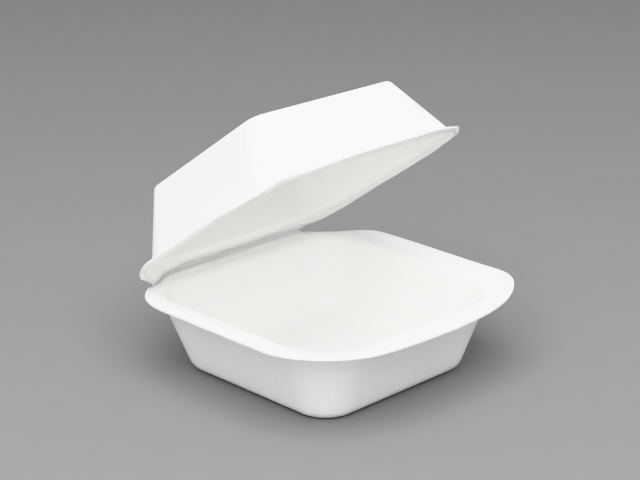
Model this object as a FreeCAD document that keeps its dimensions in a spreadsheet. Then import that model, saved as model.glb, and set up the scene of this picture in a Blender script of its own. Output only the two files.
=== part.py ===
# Hinged foam food container, open: a tapered tray, a shallower lid and the thin fold that joins them.
# Millimetres, +Z up. The origin is the middle of the tray's underside, the hinge runs along X at the
# back (+Y), and the lid opens away from the front (-Y). The lid is drawn shut, about its own hinge line.
import FreeCAD, Part
import math
import os
import re

import Sketcher

NEAR = 0.05                         # how close counts as the same height or place

# Driving dimensions. The tray's are measured from its middle, the lid's from the hinge line.
SIZES = {
    "wall_across": 2.6,             # foam of a wall, measured level
    "sheet_thickness": 2.5,         # foam of the floor and of the lid's top
    "flange_thickness": 2.0,        # foam of the flat rims, pressed a little thinner
    "tray_height": 41.2,            # table to the top of the tray's rim
    "tray_mouth_half": 64.5,        # middle to the outside of a side wall, at the rim
    "tray_mouth_front": 64.5,       # the same, to the front
    "tray_mouth_back": 61.0,        # the same, to the back
    "tray_mouth_front_corner": 30.0,
    "tray_mouth_back_corner": 22.5,
    "tray_draft_side": 14.5,        # how far a side wall leans in, from rim to floor
    "tray_draft_front": 14.5,
    "tray_draft_back": 11.5,
    "tray_floor_corner": 13.0,
    "tray_rim_side": 10.5,          # wall to the edge of the rim, at the sides
    "tray_rim_lip": 13.5,           # the same at the front, where the rim bows out
    "tray_rim_bow": 250.0,          # radius of that bow
    "tray_rim_front_corner": 41.5,
    "tray_rim_back_corner": 36.0,
    "hinge_strip": 6.0,             # back wall to the hinge line
    "closed_gap": 0.6,              # between the two rims when shut
    "fold_thickness": 1.0,          # foam left in the fold
    "fold_half": 45.0,              # middle to each end of the fold
    "fold_clearance": 0.05,         # fold to the lid's edge
    "fold_setback": 0.15,           # hinge line to the edge of each rim
    "land_width": 3.0,              # pressed strip beside the fold, on each rim
    "land_thickness": 1.1,
    "lid_height": 36.8,             # hinge line to the top of the shut lid
    "lid_hinge_strip": 5.0,         # hinge line to the lid's back wall
    "lid_short_of_tray": 7.5,       # front walls, the lid's behind the tray's when shut
    "lid_mouth_corner": 24.0,
    "lid_draft_side": 18.2,         # how far a side wall leans in, from rim to top
    "lid_draft_front": 16.0,
    "lid_draft_back": 13.8,
    "lid_top_corner": 7.0,
    "lid_rim_side": 6.7,
    "lid_rim_lip": 11.5,
    "lid_rim_front_corner": 46.0,
    "lid_rim_back_corner": 26.0,
    "open_angle": 35.2,             # how far the lid stands open, in degrees
    "floor_round": 7.0,             # outside round between the tray's floor and walls
    "floor_inner_round": 7.0,
    "top_round": 3.2,               # outside round between the lid's top and walls
    "top_inner_round": 4.0,
    "mouth_round": 2.5,             # round where a wall turns out into its rim, on the inside
    "neck_round": 1.2,              # the same on the outside
}

# Sizes that follow from those.
DERIVED = {
    "tray_floor_half": "tray_mouth_half - tray_draft_side",
    "tray_floor_front": "tray_mouth_front - tray_draft_front",
    "tray_floor_back": "tray_mouth_back - tray_draft_back",
    "tray_rim_half": "tray_mouth_half + tray_rim_side",
    "tray_rim_front": "tray_mouth_front + tray_rim_lip",
    "hinge_reach": "tray_mouth_back + hinge_strip",
    "lid_mouth_half": "tray_mouth_half",
    "lid_mouth_near": "lid_hinge_strip",
    "lid_mouth_far": "hinge_reach + tray_mouth_front - lid_short_of_tray",
    "lid_top_half": "lid_mouth_half - lid_draft_side",
    "lid_top_near": "lid_mouth_near + lid_draft_back",
    "lid_top_far": "lid_mouth_far - lid_draft_front",
    "lid_rim_half": "lid_mouth_half + lid_rim_side",
    "lid_rim_reach": "lid_mouth_far + lid_rim_lip",
}


def fill_sheet(doc):
    """A spreadsheet with one aliased cell for each driving dimension and each one that follows."""
    sheet = doc.addObject("Spreadsheet::Sheet", "sizes")
    rows = [(alias, str(value)) for alias, value in SIZES.items()]
    rows += [(alias, "=" + formula) for alias, formula in DERIVED.items()]
    for row, (alias, content) in enumerate(rows, start=1):
        sheet.set(f"A{row}", alias)
        sheet.set(f"B{row}", content)
        sheet.setAlias(f"B{row}", alias)
    doc.recompute()
    return sheet


def origin_plane(body, role):
    return next(f for f in body.Origin.OriginFeatures if f.Role == role)


def cells(expression):
    """The same expression, as a feature outside the sheet has to write it."""
    return re.sub(r"[a-z]+_[a-z_]+", lambda found: "sizes." + found.group(0), expression)


def number(sheet, expression):
    return float(sheet.evalExpression(expression))


def add_sketch(body, name, role, height):
    """An empty sketch on an origin plane of the body, lifted along the plane's normal."""
    sketch = body.newObject("Sketcher::SketchObject", name)
    sketch.AttachmentSupport = [(origin_plane(body, role), "")]
    sketch.MapMode = "FlatFace"
    if height:
        sketch.setExpression("AttachmentOffset.Base.z", cells(height))
    return sketch


def bind(sketch, name, constraint, expression):
    index = sketch.addConstraint(constraint)
    sketch.renameConstraint(index, name)
    sketch.setExpression(f"Constraints.{name}", cells(expression))


def add_outline(body, name, height, half, front, back, front_corner, back_corner, bow=None):
    """A sketch of a rounded rectangle, symmetric about Y. Every size is an expression over the sheet.

    front and back are the Y of those two edges. With bow, the front edge is an arc of that radius,
    bulging forward and tangent to its corners.
    """
    sheet = body.Document.getObject("sizes")
    sketch = add_sketch(body, name, "XY_Plane", height)
    w, f, b = (number(sheet, each) for each in (half, front, back))
    rf, rb = number(sheet, front_corner), number(sheet, back_corner)
    vector = FreeCAD.Vector

    def arc(x, y, radius, start, end):
        circle = Part.Circle(vector(x, y, 0), vector(0, 0, 1), radius)
        return Part.ArcOfCircle(circle, math.radians(start), math.radians(end))

    turn = 0.0
    corner_y = f + rf
    front_edge = Part.LineSegment(vector(-w + rf, f, 0), vector(w - rf, f, 0))
    if bow:
        bow_radius = number(sheet, bow)
        turn = math.degrees(math.asin((w - rf) / (bow_radius - rf)))
        corner_y = f + bow_radius - (bow_radius - rf) * math.cos(math.radians(turn))
        front_edge = arc(0, f + bow_radius, bow_radius, 270 - turn, 270 + turn)
    edges = [
        front_edge,
        arc(w - rf, corner_y, rf, 270 + turn, 360),
        Part.LineSegment(vector(w, corner_y, 0), vector(w, b - rb, 0)),
        arc(w - rb, b - rb, rb, 0, 90),
        Part.LineSegment(vector(w - rb, b, 0), vector(-w + rb, b, 0)),
        arc(-w + rb, b - rb, rb, 90, 180),
        Part.LineSegment(vector(-w, b - rb, 0), vector(-w, corner_y, 0)),
        arc(-w + rf, corner_y, rf, 180, 270 - turn),
    ]
    loop = sketch.addGeometry(edges, False)
    front_line, right_corner, right, back_right, back_line, back_left, left, left_corner = loop
    for here, after in zip(loop, loop[1:] + loop[:1]):
        sketch.addConstraint(Sketcher.Constraint("Tangent", here, 2, after, 1))
    sketch.addConstraint(Sketcher.Constraint("Vertical", right))
    sketch.addConstraint(Sketcher.Constraint("Vertical", left))
    sketch.addConstraint(Sketcher.Constraint("Equal", right_corner, left_corner))
    sketch.addConstraint(Sketcher.Constraint("Equal", back_right, back_left))
    sketch.addConstraint(Sketcher.Constraint("Symmetric", back_line, 1, back_line, 2, -2))
    bind(sketch, "half", Sketcher.Constraint("DistanceX", -1, 1, right, 1, w), half)
    bind(sketch, "back", Sketcher.Constraint("DistanceY", -1, 1, back_line, 1, b), back)
    bind(sketch, "front_corner", Sketcher.Constraint("Radius", right_corner, rf), front_corner)
    bind(sketch, "back_corner", Sketcher.Constraint("Radius", back_right, rb), back_corner)
    if bow:
        sketch.addConstraint(Sketcher.Constraint("PointOnObject", front_line, 3, -2))
        bind(sketch, "bow", Sketcher.Constraint("Radius", front_line, bow_radius), bow)
        middle = Sketcher.Constraint("DistanceY", -1, 1, front_line, 3, f + bow_radius)
        bind(sketch, "front", middle, f"{front} + {bow}")
    else:
        bind(sketch, "front", Sketcher.Constraint("DistanceY", -1, 1, front_line, 1, f), front)
    return sketch


def add_loft(body, name, kind, first, last):
    loft = body.newObject("PartDesign::" + kind, name)
    loft.Profile = first
    loft.Sections = [last]
    loft.Ruled = True
    body.Document.recompute()
    return loft


def add_extrusion(body, name, kind, sketch, length, reverse=False, both_ways=False):
    feature = body.newObject("PartDesign::" + kind, name)
    feature.Profile = sketch
    feature.setExpression("Length", cells(length))
    feature.Reversed = reverse
    feature.Midplane = both_ways
    body.Document.recompute()
    return feature


def add_box_sketch(body, name, height, half, near, far):
    """A rectangle, symmetric about Y, between Y near and Y far."""
    sheet = body.Document.getObject("sizes")
    sketch = add_sketch(body, name, "XY_Plane", height)
    w, low, high = (number(sheet, each) for each in (half, near, far))
    corners = [FreeCAD.Vector(x, y, 0) for x, y in ((-w, low), (w, low), (w, high), (-w, high))]
    sides = [Part.LineSegment(a, b) for a, b in zip(corners, corners[1:] + corners[:1])]
    loop = sketch.addGeometry(sides, False)
    for here, after in zip(loop, loop[1:] + loop[:1]):
        sketch.addConstraint(Sketcher.Constraint("Coincident", here, 2, after, 1))
    sketch.addConstraint(Sketcher.Constraint("Horizontal", loop[2]))
    sketch.addConstraint(Sketcher.Constraint("Vertical", loop[1]))
    sketch.addConstraint(Sketcher.Constraint("Symmetric", loop[0], 1, loop[0], 2, -2))
    bind(sketch, "half", Sketcher.Constraint("DistanceX", -1, 1, loop[1], 1, w), half)
    bind(sketch, "near", Sketcher.Constraint("DistanceY", -1, 1, loop[0], 1, low), near)
    bind(sketch, "far", Sketcher.Constraint("DistanceY", -1, 1, loop[2], 1, high), far)
    return sketch


def add_fold_sketch(body, name, across, up, radius):
    """A circle about the hinge line, seen along it."""
    sheet = body.Document.getObject("sizes")
    sketch = add_sketch(body, name, "YZ_Plane", None)
    y, z, r = (number(sheet, each) for each in (across, up, radius))
    ring = sketch.addGeometry(Part.Circle(FreeCAD.Vector(y, z, 0), FreeCAD.Vector(0, 0, 1), r), False)
    if y:
        bind(sketch, "across", Sketcher.Constraint("DistanceX", -1, 1, ring, 3, y), across)
        bind(sketch, "up", Sketcher.Constraint("DistanceY", -1, 1, ring, 3, z), up)
    else:
        sketch.addConstraint(Sketcher.Constraint("Coincident", ring, 3, -1, 1))
    bind(sketch, "radius", Sketcher.Constraint("Radius", ring, r), radius)
    return sketch


def level_edges(shape, height, within):
    """Names of the edges at a height that stay inside the walls: half width, front and back Y."""
    half, front, back = within
    names = []
    for index, edge in enumerate(shape.Edges, start=1):
        box = edge.BoundBox
        level = abs(box.ZMin - height) < NEAR and abs(box.ZMax - height) < NEAR
        inside = max(-box.XMin, box.XMax) < half + NEAR
        inside = inside and box.YMin > front - NEAR and box.YMax < back + NEAR
        if level and inside:
            names.append(f"Edge{index}")
    return names


def add_round(body, name, radius, height, within):
    feature = body.newObject("PartDesign::Fillet", name)
    before = body.Tip if body.Tip != feature else feature.BaseFeature
    shape = feature.BaseFeature.Shape if feature.BaseFeature else before.Shape
    feature.Base = (feature.BaseFeature or before, level_edges(shape, height, within))
    feature.setExpression("Radius", cells(radius))
    body.Document.recompute()
    return feature


def build_tray(doc):
    sheet = doc.getObject("sizes")
    body = doc.addObject("PartDesign::Body", "base")
    body.Label = "base"
    floor = add_outline(body, "floor_outline", None, "tray_floor_half", "-tray_floor_front",
                        "tray_floor_back", "tray_floor_corner", "tray_floor_corner")
    mouth = add_outline(body, "mouth_outline", "tray_height", "tray_mouth_half", "-tray_mouth_front",
                        "tray_mouth_back", "tray_mouth_front_corner", "tray_mouth_back_corner")
    add_loft(body, "tray_outside", "AdditiveLoft", floor, mouth)
    rim = add_outline(body, "rim_outline", "tray_height", "tray_rim_half", "-tray_rim_front",
                      "hinge_reach - fold_setback", "tray_rim_front_corner", "tray_rim_back_corner",
                      "tray_rim_bow")
    add_extrusion(body, "rim", "Pad", rim, "flange_thickness", reverse=True)

    # The hollow follows the outside, one wall thickness in.
    rise = "sheet_thickness / tray_height"
    half = f"tray_floor_half + tray_draft_side * {rise} - wall_across"
    front = f"-tray_floor_front - tray_draft_front * {rise} + wall_across"
    back = f"tray_floor_back + tray_draft_back * {rise} - wall_across"
    inner_floor = add_outline(body, "hollow_floor", "sheet_thickness", half, front, back,
                              "tray_floor_corner - wall_across / 2", "tray_floor_corner - wall_across / 2")
    inner_mouth = add_outline(body, "hollow_mouth", "tray_height", "tray_mouth_half - wall_across",
                              "-tray_mouth_front + wall_across", "tray_mouth_back - wall_across",
                              "tray_mouth_front_corner - wall_across",
                              "tray_mouth_back_corner - wall_across")
    add_loft(body, "tray_hollow", "SubtractiveLoft", inner_floor, inner_mouth)

    height = number(sheet, "tray_height")
    under = number(sheet, "tray_height - flange_thickness")
    walls = ("tray_mouth_half", "-tray_mouth_front", "tray_mouth_back")
    within = [number(sheet, each) for each in walls]
    add_round(body, "floor_outside_round", "floor_round", 0.0, within)
    add_round(body, "floor_inside_round", "floor_inner_round", number(sheet, "sheet_thickness"), within)
    add_round(body, "mouth_inside_round", "mouth_round", height, within)
    add_round(body, "neck_outside_round", "neck_round", under, within)

    # Pressed strip under the rim, beside the fold.
    land = add_box_sketch(body, "land_outline", "tray_height - flange_thickness", "tray_rim_half",
                          "hinge_reach - land_width", "hinge_reach + land_width")
    add_extrusion(body, "land", "Pocket", land, "flange_thickness - land_thickness", reverse=True)
    fold = add_fold_sketch(body, "fold_outline", "hinge_reach", "tray_height + closed_gap / 2",
                           "fold_thickness / 2")
    add_extrusion(body, "fold", "Pad", fold, "2 * fold_half", both_ways=True)
    return body


def build_lid(doc):
    sheet = doc.getObject("sizes")
    body = doc.addObject("PartDesign::Body", "lid")
    body.Label = "lid"
    low = "closed_gap / 2"
    mouth = add_outline(body, "mouth_outline", low, "lid_mouth_half", "-lid_mouth_far",
                        "-lid_mouth_near", "lid_mouth_corner", "lid_mouth_corner")
    top = add_outline(body, "top_outline", "lid_height", "lid_top_half", "-lid_top_far",
                      "-lid_top_near", "lid_top_corner", "lid_top_corner")
    add_loft(body, "lid_outside", "AdditiveLoft", mouth, top)
    rim = add_outline(body, "rim_outline", low, "lid_rim_half", "-lid_rim_reach", "-fold_setback",
                      "lid_rim_front_corner", "lid_rim_back_corner")
    add_extrusion(body, "rim", "Pad", rim, "flange_thickness")

    # The hollow follows the outside, one wall thickness in.
    rise = f"sheet_thickness / (lid_height - {low})"
    half = f"lid_top_half + lid_draft_side * {rise} - wall_across"
    far = f"-lid_top_far - lid_draft_front * {rise} + wall_across"
    near = f"-lid_top_near + lid_draft_back * {rise} - wall_across"
    inner_mouth = add_outline(body, "hollow_mouth", low, "lid_mouth_half - wall_across",
                              "-lid_mouth_far + wall_across", "-lid_mouth_near - wall_across",
                              "lid_mouth_corner - wall_across", "lid_mouth_corner - wall_across")
    inner_top = add_outline(body, "hollow_top", "lid_height - sheet_thickness", half, far, near,
                            "lid_top_corner - wall_across / 2", "lid_top_corner - wall_across / 2")
    add_loft(body, "lid_hollow", "SubtractiveLoft", inner_mouth, inner_top)

    low_z = number(sheet, low)
    high_z = number(sheet, "lid_height")
    over = number(sheet, f"{low} + flange_thickness")
    walls = ("lid_mouth_half", "-lid_mouth_far", "-lid_mouth_near")
    within = [number(sheet, each) for each in walls]
    inside_top = number(sheet, "lid_height - sheet_thickness")
    add_round(body, "top_outside_round", "top_round", high_z, within)
    add_round(body, "top_inside_round", "top_inner_round", inside_top, within)
    add_round(body, "mouth_inside_round", "mouth_round", low_z, within)
    add_round(body, "neck_outside_round", "neck_round", over, within)

    # Pressed strip over the rim, beside the fold, and the trough the fold lies in.
    land = add_box_sketch(body, "land_outline", f"{low} + flange_thickness", "lid_rim_half",
                          "-land_width", "land_width")
    add_extrusion(body, "land", "Pocket", land, "flange_thickness - land_thickness")
    trough = add_fold_sketch(body, "trough_outline", "0", "0", "fold_thickness / 2 + fold_clearance")
    add_extrusion(body, "trough", "Pocket", trough,
                  "2 * (fold_half + fold_clearance)", both_ways=True)

    body.Placement = FreeCAD.Placement(FreeCAD.Vector(), FreeCAD.Rotation(FreeCAD.Vector(-1, 0, 0), 1))
    body.setExpression("Placement.Base.y", cells("hinge_reach"))
    body.setExpression("Placement.Base.z", cells("tray_height + closed_gap / 2"))
    body.setExpression("Placement.Rotation.Angle", cells("open_angle"))
    return body


def main():
    os.makedirs("parts", exist_ok=True)
    doc = FreeCAD.newDocument("clamshell")
    fill_sheet(doc)
    bodies = [build_tray(doc), build_lid(doc)]
    doc.recompute()
    for item in doc.Objects:
        if "Invalid" in item.State or "Error" in item.State:
            raise RuntimeError(f"{item.Name} did not build: {item.State}")
    for body in bodies:
        shape = body.Shape
        if shape.isNull() or not shape.isValid() or len(shape.Solids) != 1:
            raise RuntimeError(f"{body.Label} is not one sound solid")
        shape.exportStep(f"parts/{body.Label}.step")
        box = shape.BoundBox
        print(body.Label, f"{shape.Volume:.0f} mm3, Z {box.ZMin:.2f} to {box.ZMax:.2f}")


main()
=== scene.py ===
"""Looks of a white foam takeaway box that stands part open: its tray, its lid and the fold between them.

Sizes are millimetres in the row's frame. The lid's are for the lid shut, measured from the hinge line.
"""

import math

import bpy
import numpy as np
from mathutils import Matrix, Vector, noise


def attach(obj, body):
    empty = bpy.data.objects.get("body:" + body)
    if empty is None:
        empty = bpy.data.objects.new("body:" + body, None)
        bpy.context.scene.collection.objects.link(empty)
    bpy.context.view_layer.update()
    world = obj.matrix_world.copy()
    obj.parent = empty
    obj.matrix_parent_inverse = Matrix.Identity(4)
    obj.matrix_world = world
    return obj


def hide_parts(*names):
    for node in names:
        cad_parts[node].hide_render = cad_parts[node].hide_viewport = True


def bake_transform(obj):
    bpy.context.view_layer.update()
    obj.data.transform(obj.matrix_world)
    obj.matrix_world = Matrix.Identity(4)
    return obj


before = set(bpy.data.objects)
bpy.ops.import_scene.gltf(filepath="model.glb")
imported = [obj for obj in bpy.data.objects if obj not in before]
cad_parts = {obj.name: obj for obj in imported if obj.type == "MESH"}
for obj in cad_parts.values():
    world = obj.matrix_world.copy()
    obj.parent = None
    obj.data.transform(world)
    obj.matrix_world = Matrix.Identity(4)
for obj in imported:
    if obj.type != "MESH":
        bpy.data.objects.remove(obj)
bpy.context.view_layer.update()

MM = 0.001
HINGE_Y = 67.0
HINGE_Z = 41.5
OPEN_ANGLE = math.radians(35.2)     # how far the lid stands open

# An outline is half width, reach to the front, reach to the back, front corner radius, back corner
# radius, and the curvature of the front edge's bow.
TRAY_FLOOR = np.array([50.0, 50.0, 49.5, 16.0, 16.0, 0.0])
TRAY_MOUTH = np.array([64.5, 64.5, 61.0, 30.0, 21.3, 0.0])
TRAY_RIM = np.array([75.0, 78.0, HINGE_Y - 0.15, 40.6, 36.0, 1 / 250.0])
TRAY_HEIGHT = 41.2
LID_MOUTH = np.array([64.5, 124.0, -5.0, 22.5, 21.5, 0.0])
LID_TOP = np.array([46.4, 108.0, -18.8, 7.0, 7.0, 0.0])
LID_RIM = np.array([71.2, 135.5, -0.15, 46.0, 26.0, 0.0])
LID_BOTTOM = 0.3                    # how high the shut lid's rim and its top are above the hinge line
LID_HEIGHT = 36.8
TRAY_DISH = 1.8                     # how much higher a rim is at its edge than at its mouth
LID_DISH = 1.5

# The foam sheet.
WALL = 2.6                          # level thickness of the slanted walls
SHEET = 2.5                         # the tray's floor and the lid's top
FLANGE = 2.0                        # the rims
LAND = 3.0                          # width and thickness of the strip pressed flat before the fold
LAND_THICK = 1.1
NECK = 1.4                          # round under the rim, and how much wider than high it is
NECK_SPREAD = 1.3
LIP_ROUND = 5.0                     # round from the rim's top into the hollow
RIM_TILT = math.radians(9.0)        # slope of the rim's top where that round starts
EDGE_DEPTH = 0.7                    # how deep the cut edge is rounded, and how square it stays
EDGE_SQUARE = 0.6
STRIP_IN = 2.2                      # the strip pressed along the cut edge fades out between these depths
STRIP_END = 3.4

# How the foam has settled.
CORNER_X = (30.0, 66.0)             # a corner's droop grows between these distances from the middle
CORNER_Y = (34.0, 64.0)
THIN_CORNER = 1.2                   # how much thinner the rim is at its corners
DROOP_POWER = 1.3                   # how a droop grows across the rim
WAVE_SIZE, RIPPLE_SIZE = 34.0, 11.0         # the foam's unevenness: its two sizes, and how far each
WAVE_LIFT, RIPPLE_LIFT = 0.35, 0.08         # moves the rim up or down and the walls in or out
WAVE_OUT, RIPPLE_OUT = 0.18, 0.05
HINGE_CLEAR = 14.0                  # unevenness fades out this near to the hinge line
FOLD_DROOP = 2.2                    # droop of the fold's left end, and of the rims there
FOLD_LEFT, FOLD_RIGHT = -52.0, 47.0
FOLD_STOPS = (4.0, 2.0, 0.6)        # points on the strip's outside, from where it starts on either rim
FOLD_ROUND = 1.25                   # outer radius of its bend
FOLD_INWARD = 2.2                   # how far its ends turn in
PINCH = 2.8                         # dent at the crease's left end: its depth, place and spread
PINCH_X = 53.0
PINCH_WIDE, PINCH_DEEP = 4.5, 7.0
EAR_LIFT = 1.4                      # ears on the lid's front corners: their height and spread in degrees
EAR_SPREAD = 10.0
EAR_SIDES = ((2.3, -28.0, 10.0), (1.3, 27.0, 12.0))     # flatter places beside one: depth, place, spread

# How finely a shell is divided. Where scales are listed, they are a ring's size against the whole face.
CORNER_STEPS = 30
SIDE_STEPS = 26
ROUND_STEPS = 7
LIP_STEPS = 9
WALL_STEPS = 20
EDGE_STEPS = 10
STRIP_STEPS = 6
STRIP_DEPTHS = (1.0, 1.5, 2.0)
FOLD_STEPS = 60
BEND_STEPS = 10
FOOT_SCALES = (0.03, 0.08, 0.15, 0.24, 0.34, 0.45, 0.56, 0.67, 0.77, 0.85, 0.9)
FOOT_RISES = ((0.925, 0.85), (0.95, 0.4), (0.97, 0.1), (0.985, 0.0))
FLOOR_SCALES = (0.98, 0.95, 0.9, 0.84, 0.77, 0.67, 0.56, 0.45, 0.34, 0.24, 0.15, 0.08, 0.03)
UNDER_SHARES = (0.12, 0.25, 0.38, 0.5, 0.62, 0.74, 0.84, 0.92, 0.97)
TOP_SHARES = (0.06, 0.16, 0.28, 0.4, 0.53, 0.66, 0.78, 0.9, 1.0)


def ring(outline):
    """Points around a rounded rectangle, counter-clockwise from the middle of its front edge."""
    half, front, back, rf, rb, bow = outline
    rf, rb = max(rf, 0.4), max(rb, 0.4)
    turn = 0.0
    corner_y = -front + rf
    if bow > 1e-6:
        big = 1.0 / bow
        turn = math.asin((half - rf) / (big - rf))
        corner_y = -front + big - (big - rf) * math.cos(turn)
    points = []

    def edge(x0, y0, x1, y1):
        for i in range(SIDE_STEPS):
            t = i / SIDE_STEPS
            points.append((x0 + (x1 - x0) * t, y0 + (y1 - y0) * t))

    def corner(x, y, radius, start, end):
        for i in range(CORNER_STEPS):
            angle = start + (end - start) * i / CORNER_STEPS
            points.append((x + radius * math.cos(angle), y + radius * math.sin(angle)))

    def front_half(sign):
        for i in range(SIDE_STEPS // 2):
            t = i / (SIDE_STEPS // 2)
            s = t if sign > 0 else t - 1.0
            if bow > 1e-6:
                points.append((math.sin(turn * s) / bow, -front + (1.0 - math.cos(turn * s)) / bow))
            else:
                points.append(((half - rf) * s, -front))

    quarter = math.pi / 2
    front_half(1)
    corner(half - rf, corner_y, rf, -quarter + turn, 0.0)
    edge(half, corner_y, half, back - rb)
    corner(half - rb, back - rb, rb, 0.0, quarter)
    edge(half - rb, back, -half + rb, back)
    corner(-half + rb, back - rb, rb, quarter, 2 * quarter)
    edge(-half, back - rb, -half, corner_y)
    corner(-half + rf, corner_y, rf, 2 * quarter, 3 * quarter - turn)
    front_half(-1)
    return np.array(points)


def grown(outline, by):
    """The same outline moved outwards by so many millimetres."""
    return outline + np.array([by, by, by, by, by, 0.0])


def between(a, b, share):
    """The outline that lies at that share of the way from a to b."""
    return a + (b - a) * share


class Shell:
    """Rings of points, stacked from the middle of one face, round the rim, to the middle of the other."""

    def __init__(self):
        self.rings = []
        self.tags = []      # for each ring: how far out on the rim, cut edge, rim's underside, pressed strip

    def add(self, outline, z, out=0.0, cut=0.0, below=0.0, lip=0.0, scale=1.0):
        points = ring(outline)
        if scale < 1.0:
            middle = np.array([0.0, (outline[2] - outline[1]) / 2])
            points = middle + (points - middle) * scale
        self.rings.append(np.column_stack([points, np.full(len(points), z)]))
        self.tags.append((out, cut, below, lip))

    def arrays(self):
        """Vertices, faces, and the four tags for every vertex. The two ends are closed with a fan."""
        count = len(self.rings[0])
        first = self.rings[0].mean(0)
        last = self.rings[-1].mean(0)
        verts = np.vstack([first[None]] + self.rings + [last[None]])
        faces = []
        for r in range(len(self.rings) - 1):
            a, b = 1 + r * count, 1 + (r + 1) * count
            for i in range(count):
                j = (i + 1) % count
                faces.append((a + i, a + j, b + j, b + i))
        end = len(verts) - 1
        last_ring = 1 + (len(self.rings) - 1) * count
        for i in range(count):
            j = (i + 1) % count
            faces.append((0, 1 + j, 1 + i))
            faces.append((end, last_ring + i, last_ring + j))
        none = [(0.0, 0.0, 0.0, 0.0)]
        tags = none + [t for t in self.tags for _ in range(count)] + none
        return verts, faces, np.array(tags)


def build_shell(foot, mouth, rim, height, round_out, round_in, dish, recess=0.5):
    """The moulded sheet as rings, foot down: foot face, outer wall, rim, inner wall, inner floor.

    foot and mouth are the outside of the wall at z 0 and at z height, and rim is the edge of the rim,
    which rises outwards by dish. round_out and round_in are the rounds at the foot, outside and inside,
    and recess is how far the foot face is hollowed.
    """
    shell = Shell()
    slope = math.atan2(mouth[0] - foot[0], height)
    turn = math.pi / 2 - slope
    under = height - FLANGE

    def wall(h, inset=0.0):
        return grown(between(foot, mouth, h / height), -inset)

    def off_wall(radius, angle):
        """How far a round that starts level stands off the wall, and how far it has risen."""
        rise = radius * (1 - math.cos(angle))
        return rise * math.tan(slope) + radius * math.tan(turn / 2) - radius * math.sin(angle), rise

    # Foot face, slightly hollow, then its round.
    face = wall(0.0, off_wall(round_out, 0.0)[0])
    for scale in FOOT_SCALES:
        shell.add(face, recess, scale=scale)
    for scale, share in FOOT_RISES:
        shell.add(face, recess * share, scale=scale)
    for i in range(ROUND_STEPS + 1):
        inset, rise = off_wall(round_out, turn * i / ROUND_STEPS)
        shell.add(wall(rise, inset), rise)
    low, high = rise, under - dish - NECK
    for i in range(1, WALL_STEPS + 1):
        h = low + (high - low) * i / WALL_STEPS
        shell.add(wall(h), h)
    # Neck: the wall turns out under the rim.
    at_neck, spread = wall(high), NECK * NECK_SPREAD
    for i in range(1, ROUND_STEPS + 1):
        angle = (math.pi / 2) * i / ROUND_STEPS
        shell.add(grown(at_neck, spread * (1 - math.cos(angle))), high + NECK * math.sin(angle), below=1.0)
    inner = grown(at_neck, spread)
    for t in UNDER_SHARES:
        shell.add(between(inner, grown(rim, -EDGE_DEPTH), t), under - dish * (1.0 - t), out=t, below=1.0)
    # Cut edge of the rim, softly rounded.
    for i in range(EDGE_STEPS + 1):
        angle = -math.pi / 2 + math.pi * i / EDGE_STEPS
        side = max(math.cos(angle), 0.0) ** EDGE_SQUARE
        rise = math.copysign(abs(math.sin(angle)) ** EDGE_SQUARE, math.sin(angle))
        shell.add(grown(rim, EDGE_DEPTH * (side - 1.0)), under + FLANGE / 2 * (1 + rise), out=1.0,
                  cut=min(1.0, 1.4 * side), below=0.5 - 0.5 * rise, lip=0.5 + 0.5 * rise)
    # Rim's top: a thinner strip along the cut edge, then down to the mouth, where it rolls into the hollow.
    inset, rise = off_wall(LIP_ROUND, RIM_TILT)
    start_in, start_z = wall(height - dish - rise, WALL - inset), height - dish - rise
    for depth in STRIP_DEPTHS:
        shell.add(grown(rim, -depth), height, out=1.0, lip=1.0)
    for i in range(STRIP_STEPS + 1):
        share = 0.5 + 0.5 * math.cos(math.pi * i / STRIP_STEPS)
        depth = STRIP_IN + (STRIP_END - STRIP_IN) * i / STRIP_STEPS
        shell.add(grown(rim, -depth), height, out=0.9, lip=share)
    last = grown(rim, -STRIP_END)
    for t in TOP_SHARES:
        shell.add(between(last, start_in, t), height + (start_z - height) * t, out=0.9 * (1.0 - t))
    for i in range(1, LIP_STEPS + 1):
        inset, rise = off_wall(LIP_ROUND, RIM_TILT + (turn - RIM_TILT) * i / LIP_STEPS)
        shell.add(wall(height - dish - rise, WALL - inset), height - dish - rise)
    high = height - dish - rise
    low = SHEET + off_wall(round_in, turn)[1]
    for i in range(1, WALL_STEPS + 1):
        h = high + (low - high) * i / WALL_STEPS
        shell.add(wall(h, WALL), h)
    for i in range(LIP_STEPS - 1, -1, -1):
        inset, rise = off_wall(round_in, turn * i / LIP_STEPS)
        shell.add(wall(SHEET + rise, WALL + inset), SHEET + rise)
    face = wall(SHEET, WALL + inset)
    for scale in FLOOR_SCALES:
        shell.add(face, SHEET, scale=scale)
    return shell.arrays()


def soft_wave(points, size, seed):
    """Smooth noise between -1 and 1 at every point, with bumps about size millimetres across."""
    offset = Vector((seed * 17.3, seed * 5.1, seed * 9.7))
    return np.array([noise.noise(Vector(p) / size + offset) for p in points])


def ease(value, low, high):
    """A smooth rise from 0 at low to 1 at high."""
    t = np.clip((value - low) / (high - low), 0.0, 1.0)
    return t * t * (3 - 2 * t)


def pinch(x, back):
    """How deep the crease's left end is pressed down, at x and at so many millimetres before the hinge."""
    return PINCH * np.exp(-((x + PINCH_X) / PINCH_WIDE) ** 2 - (back / PINCH_DEEP) ** 2)


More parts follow.
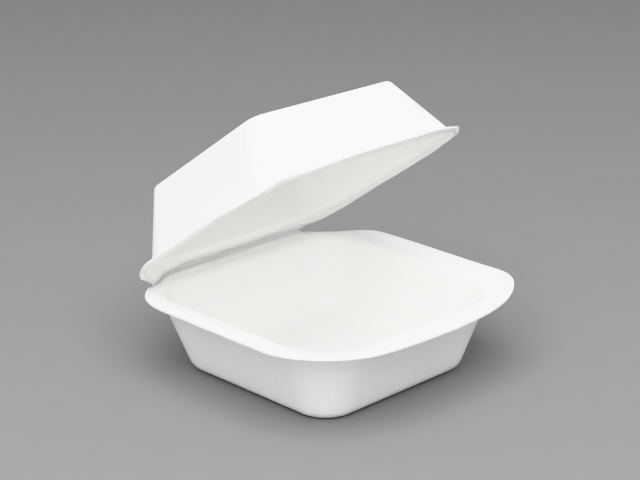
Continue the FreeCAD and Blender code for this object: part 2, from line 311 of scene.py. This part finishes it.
def settle(verts, tags, hinge_y, droops, seed, lip_depth):
    """Adds what moulding and use leave: drooping rim corners, the pressed strips along the cut edge and
    before the fold, the pinched crease, and the small unevenness of thin foam.

    droops are for the corners front left, front right, back left and back right, and lip_depth is how far
    the strip along the cut edge is pressed in.
    """
    out, below = tags[:, 0], tags[:, 2]
    middle_y = verts[:, 1].mean()
    clear = np.clip((hinge_y - verts[:, 1]) / HINGE_CLEAR, 0.0, 1.0)
    drawn_up = verts * np.array([1.0, 1.0, 0.2])
    wave = soft_wave(drawn_up, WAVE_SIZE, seed)
    ripple = soft_wave(drawn_up, RIPPLE_SIZE, seed + 1)
    corner = ease(np.abs(verts[:, 0]), *CORNER_X)
    at_back, at_right = verts[:, 1] > middle_y, verts[:, 0] > 0.0
    share = np.array(droops)[at_back * 2 + at_right]
    reach = ease(np.abs(verts[:, 1] - middle_y), *CORNER_Y)
    verts[:, 2] -= lip_depth * tags[:, 3] * clear
    verts[:, 2] -= share * corner * reach * out ** DROOP_POWER
    verts[:, 2] -= math.copysign(1.0, droops[2]) * pinch(verts[:, 0], hinge_y - verts[:, 1]) * out
    verts[:, 2] += THIN_CORNER * corner * reach * below * out ** 2
    verts[:, 2] += (WAVE_LIFT * wave + RIPPLE_LIFT * ripple) * out * clear
    land = ease(verts[:, 1], hinge_y - LAND - 0.6, hinge_y - LAND + 0.4)
    verts[:, 2] += (FLANGE - LAND_THICK) * land * below * (out > 0)
    away = verts[:, :2] - np.array([0.0, middle_y])
    away /= np.maximum(np.linalg.norm(away, axis=1, keepdims=True), 1e-6)
    verts[:, :2] += away * ((WAVE_OUT * wave + RIPPLE_OUT * ripple) * clear * (1.0 - out * 0.4))[:, None]
    return verts


def mesh_piece(name, verts, faces, material, attributes=()):
    """A smooth mesh from millimetres, with its material and its named values for every vertex."""
    mesh = bpy.data.meshes.new(name)
    mesh.from_pydata([tuple(v) for v in verts * MM], [], faces)
    mesh.update()
    for key, values in attributes:
        layer = mesh.attributes.new(key, "FLOAT", "POINT")
        layer.data.foreach_set("value", np.asarray(values, np.float32))
    mesh.shade_smooth()
    mesh.materials.append(material)
    piece = bpy.data.objects.new(name, mesh)
    bpy.context.scene.collection.objects.link(piece)
    return piece


def lid_to_row(points):
    """From the shut lid's hinge-line coordinates to the row's frame, with the lid standing open."""
    y, z = points[:, 1], points[:, 2]
    c, s = math.cos(OPEN_ANGLE), math.sin(OPEN_ANGLE)
    return np.column_stack([points[:, 0], HINGE_Y + y * c + z * s, HINGE_Z - y * s + z * c])


def foam_material(name):
    """Smooth skin of moulded foam: faint cells, faint mottling, and open cells along the cut edge."""
    material = bpy.data.materials.new(name)
    material.use_nodes = True
    nodes, links = material.node_tree.nodes, material.node_tree.links
    nodes.clear()
    output = nodes.new("ShaderNodeOutputMaterial")
    shader = nodes.new("ShaderNodeBsdfPrincipled")
    links.new(shader.outputs["BSDF"], output.inputs["Surface"])
    place = nodes.new("ShaderNodeTexCoord")

    def texture(kind, scale, **settings):
        node = nodes.new(kind)
        links.new(place.outputs["Object"], node.inputs["Vector"])
        node.inputs["Scale"].default_value = scale
        for key, value in settings.items():
            node.inputs[key].default_value = value
        return node

    def mix(kind, a, b, factor):
        node = nodes.new("ShaderNodeMix")
        node.data_type = kind
        socket = "RGBA" if kind == "RGBA" else "VALUE"
        slots = [s for s in node.inputs if s.name in ("A", "B") and s.type == socket]
        result = next(s for s in node.outputs if s.type == socket)
        for slot, value in zip(slots, (a, b)):
            if hasattr(value, "is_output"):
                links.new(value, slot)
            else:
                slot.default_value = value
        if hasattr(factor, "is_output"):
            links.new(factor, node.inputs["Factor"])
        else:
            node.inputs["Factor"].default_value = factor
        return result

    def spread(value, low, high, to_low, to_high):
        node = nodes.new("ShaderNodeMapRange")
        links.new(value, node.inputs["Value"])
        for key, number in (("From Min", low), ("From Max", high), ("To Min", to_low), ("To Max", to_high)):
            node.inputs[key].default_value = number
        return node.outputs["Result"]

    def bump(level, distance, strength, under=None):
        node = nodes.new("ShaderNodeBump")
        node.inputs["Distance"].default_value = distance
        if hasattr(strength, "is_output"):
            links.new(strength, node.inputs["Strength"])
        else:
            node.inputs["Strength"].default_value = strength
        links.new(level, node.inputs["Height"])
        if under:
            links.new(under.outputs["Normal"], node.inputs["Normal"])
        return node

    mottle = texture("ShaderNodeTexNoise", 38.0, Detail=4.0, Roughness=0.55)
    cells = texture("ShaderNodeTexVoronoi", 900.0, Randomness=1.0)
    beads = texture("ShaderNodeTexVoronoi", 420.0, Randomness=1.0)
    grain = texture("ShaderNodeTexNoise", 2600.0, Detail=3.0, Roughness=0.6)
    dents = texture("ShaderNodeTexNoise", 130.0, Detail=2.0, Roughness=0.5)

    cut = nodes.new("ShaderNodeAttribute")
    cut.attribute_name = "cut_edge"

    bright = (0.982, 0.974, 0.955, 1.0)
    warm = (0.965, 0.952, 0.925, 1.0)
    cell_wall = (0.94, 0.928, 0.9, 1.0)
    open_cell = (0.86, 0.85, 0.82, 1.0)
    body = mix("RGBA", bright, warm, spread(mottle.outputs["Fac"], 0.38, 0.68, 0.0, 0.75))
    body = mix("RGBA", body, cell_wall, spread(cells.outputs["Distance"], 0.25, 0.75, 0.0, 0.3))
    body = mix("RGBA", body, open_cell, spread(cut.outputs["Fac"], 0.5, 1.0, 0.0, 0.45))
    links.new(body, shader.inputs["Base Color"])
    rough = mix("FLOAT", 0.42, 0.56, mottle.outputs["Fac"])
    rough = mix("FLOAT", rough, 0.8, cut.outputs["Fac"])
    links.new(rough, shader.inputs["Roughness"])
    shader.inputs["Specular IOR Level"].default_value = 0.35
    shader.inputs["Subsurface Weight"].default_value = 0.6
    shader.inputs["Subsurface Radius"].default_value = (1.0, 0.95, 0.85)
    shader.inputs["Subsurface Scale"].default_value = 0.003

    height = mix("FLOAT", cells.outputs["Distance"], beads.outputs["Distance"], 0.4)
    height = mix("FLOAT", height, grain.outputs["Fac"], 0.25)
    fine = bump(height, 0.00013, 0.45)
    broad = bump(dents.outputs["Fac"], 0.0007, 0.3, fine)
    coarse = bump(beads.outputs["Distance"], 0.0004, spread(cut.outputs["Fac"], 0.4, 1.0, 0.0, 0.6), broad)
    links.new(coarse.outputs["Normal"], shader.inputs["Normal"])
    return material


def make_tray(material):
    verts, faces, tags = build_shell(TRAY_FLOOR, TRAY_MOUTH, TRAY_RIM, TRAY_HEIGHT, round_out=7.0,
                                     round_in=7.5, dish=TRAY_DISH)
    droops = (0.3, -2.2, FOLD_DROOP, 3.4)
    verts = settle(verts, tags, HINGE_Y, droops, seed=3.0, lip_depth=0.2)
    tray = mesh_piece("tray_shell", verts, faces, material, [("cut_edge", tags[:, 1])])
    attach(tray, "base")
    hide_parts("base")


def curl_ears(verts, out):
    """Curls up a small ear at the middle of each of the lid's front corners, between two flatter places.

    turn is the angle from the corner's middle, negative towards the side.
    """
    half, front, _, radius, _, _ = LID_RIM
    across = np.abs(verts[:, 0]) - (half - radius)
    ahead = -(verts[:, 1] + (front - radius))
    turn = np.degrees(np.arctan2(ahead, across)) - 45.0
    at = ((across > 0) & (ahead > 0)) * out ** 2
    verts[:, 2] -= EAR_LIFT * np.exp(-(turn / EAR_SPREAD) ** 2) * at
    pull = sum(depth * np.exp(-((turn - place) / spread) ** 2) for depth, place, spread in EAR_SIDES) * at
    length = np.maximum(np.hypot(across, ahead), 1e-6)
    verts[:, 0] -= np.sign(verts[:, 0]) * pull * across / length
    verts[:, 1] += pull * ahead / length
    return verts


def make_lid(material):
    """The lid is laid out foot down like the tray, then turned over about the hinge line."""
    span = LID_HEIGHT - LID_BOTTOM
    verts, faces, tags = build_shell(LID_TOP, LID_MOUTH, LID_RIM, span, round_out=3.2,
                                     round_in=4.5, dish=LID_DISH, recess=0.4)
    droops = (0.0, 0.0, -3.0, -1.0)
    verts = settle(verts, tags, 0.0, droops, seed=8.0, lip_depth=0.7)
    verts = curl_ears(verts, tags[:, 0])
    verts[:, 2] = LID_HEIGHT - verts[:, 2]
    faces = [tuple(reversed(f)) for f in faces]
    lid = mesh_piece("lid_shell", lid_to_row(verts), faces, material, [("cut_edge", tags[:, 1])])
    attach(lid, "lid")
    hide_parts("lid")


def make_fold(material):
    """The thin strip that bends between the two rims: a section in y and z, drawn out along x."""
    c, s = math.cos(OPEN_ANGLE), math.sin(OPEN_ANGLE)

    def on_tray(y, z):
        return (HINGE_Y + y, TRAY_HEIGHT + z)

    def on_lid(y, z):
        return (HINGE_Y + y * c + z * s, HINGE_Z - y * s + z * c)

    above = LID_BOTTOM + LAND_THICK
    outer = [on_tray(-y, -LAND_THICK) for y in FOLD_STOPS]
    start, end = -math.pi / 2, math.pi / 2 - OPEN_ANGLE
    for i in range(BEND_STEPS + 1):
        angle = start + (end - start) * i / BEND_STEPS
        outer.append((HINGE_Y + FOLD_ROUND * math.cos(angle), HINGE_Z + FOLD_ROUND * math.sin(angle)))
    outer += [on_lid(-y, above) for y in reversed(FOLD_STOPS)]
    # The inside lies just under the two rims' faces and comes up between them at the crease.
    first, second, _ = FOLD_STOPS
    inner = [on_tray(-first, -0.03), on_tray(-second, -0.03), on_tray(-0.5, 0.0)]
    inner += [(HINGE_Y + 0.05, HINGE_Z - 0.1), on_lid(0.05, 0.1), on_lid(-0.5, LID_BOTTOM)]
    inner += [on_lid(-second, LID_BOTTOM + 0.03), on_lid(-first, LID_BOTTOM + 0.03)]
    section = outer + inner[::-1]
    verts, faces = [], []
    for k in range(FOLD_STEPS + 1):
        x = FOLD_LEFT + (FOLD_RIGHT - FOLD_LEFT) * k / FOLD_STEPS
        drop = FOLD_DROOP * float(ease(abs(x), *CORNER_X)) + float(pinch(x, 0.0))
        inward = FOLD_INWARD * float(ease(abs(x), 42.0, 52.0))
        verts += [(x, y - inward, z - drop) for y, z in section]
    n = len(section)
    for k in range(FOLD_STEPS):
        for i in range(n):
            j = (i + 1) % n
            faces.append((k * n + i, k * n + j, (k + 1) * n + j, (k + 1) * n + i))
    faces.append(tuple(reversed(range(n))))
    faces.append(tuple(range(FOLD_STEPS * n, (FOLD_STEPS + 1) * n)))
    fold = mesh_piece("fold_strip", np.array(verts), faces, material)
    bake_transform(fold)


def make_stage():
    """A plain grey paper floor."""
    bpy.ops.mesh.primitive_plane_add(size=8.0)
    floor = bpy.context.object
    floor.name = "floor"
    material = bpy.data.materials.new("floor_paper")
    material.use_nodes = True
    nodes, links = material.node_tree.nodes, material.node_tree.links
    shader = nodes["Principled BSDF"]
    grain = nodes.new("ShaderNodeTexNoise")
    grain.inputs["Scale"].default_value = 600.0
    ramp = nodes.new("ShaderNodeMapRange")
    ramp.inputs["To Min"].default_value = 0.252
    ramp.inputs["To Max"].default_value = 0.262
    links.new(grain.outputs["Fac"], ramp.inputs["Value"])
    tint = nodes.new("ShaderNodeCombineColor")
    for channel in ("Red", "Green", "Blue"):
        links.new(ramp.outputs["Result"], tint.inputs[channel])
    links.new(tint.outputs["Color"], shader.inputs["Base Color"])
    shader.inputs["Roughness"].default_value = 0.9
    shader.inputs["Specular IOR Level"].default_value = 0.1
    floor.data.materials.append(material)


def area_light(name, place, size, power):
    """A round soft light, in metres and watts, that faces the box."""
    aim = Vector((0.0, 0.0, 0.05))
    light = bpy.data.lights.new(name, "AREA")
    light.shape = "DISK"
    light.size = size
    light.energy = power
    lamp = bpy.data.objects.new(name, light)
    lamp.location = place
    lamp.rotation_euler = (aim - Vector(place)).to_track_quat("-Z", "Y").to_euler()
    bpy.context.scene.collection.objects.link(lamp)


def make_lights():
    """Soft light from above on the left, two weak fills, and a pale surround."""
    area_light("top_softbox", (-0.45, -0.45, 1.15), size=1.5, power=23.5)
    area_light("camera_fill", (-1.08, -0.78, 0.35), size=1.0, power=4.1)
    area_light("side_fill", (1.1, -0.7, 0.5), size=0.8, power=0.5)
    world = bpy.data.worlds.new("studio")
    world.use_nodes = True
    background = world.node_tree.nodes["Background"]
    background.inputs["Color"].default_value = (0.96, 0.98, 1.0, 1.0)
    background.inputs["Strength"].default_value = 0.66
    bpy.context.scene.world = world
    # Keeps the shading of white foam, which the default transform greys and the plain one burns out.
    bpy.context.scene.view_settings.view_transform = "Khronos PBR Neutral"


def make_camera():
    """The photograph's viewpoint, found by fitting the outlines of the tray and the lid."""
    azimuth, elevation = math.radians(-44.86), math.radians(19.75)
    distance, shift_x, shift_y = 895.83, 2.65, -30.84
    aim = Vector((0.0, 0.0, 31.0))
    focal_pixels, photo_width, sensor = 1876.44, 640.0, 36.0
    right = Vector((math.cos(azimuth), math.sin(azimuth), 0.0))
    back = Vector((math.sin(azimuth) * math.cos(elevation), -math.cos(azimuth) * math.cos(elevation),
                   math.sin(elevation)))
    up = back.cross(right)
    eye = aim + back * distance - right * shift_x - up * shift_y
    data = bpy.data.cameras.new("camera")
    data.sensor_width = sensor
    data.lens = focal_pixels * sensor / photo_width
    data.clip_end = 20.0
    camera = bpy.data.objects.new("camera", data)
    turn = Matrix((right, up, back)).transposed().to_4x4()
    camera.matrix_world = Matrix.Translation(eye * MM) @ turn
    bpy.context.scene.collection.objects.link(camera)
    bpy.context.scene.camera = camera


foam = foam_material("foam_skin")
make_tray(foam)
make_lid(foam)
make_fold(foam)
make_stage()
make_lights()
make_camera()
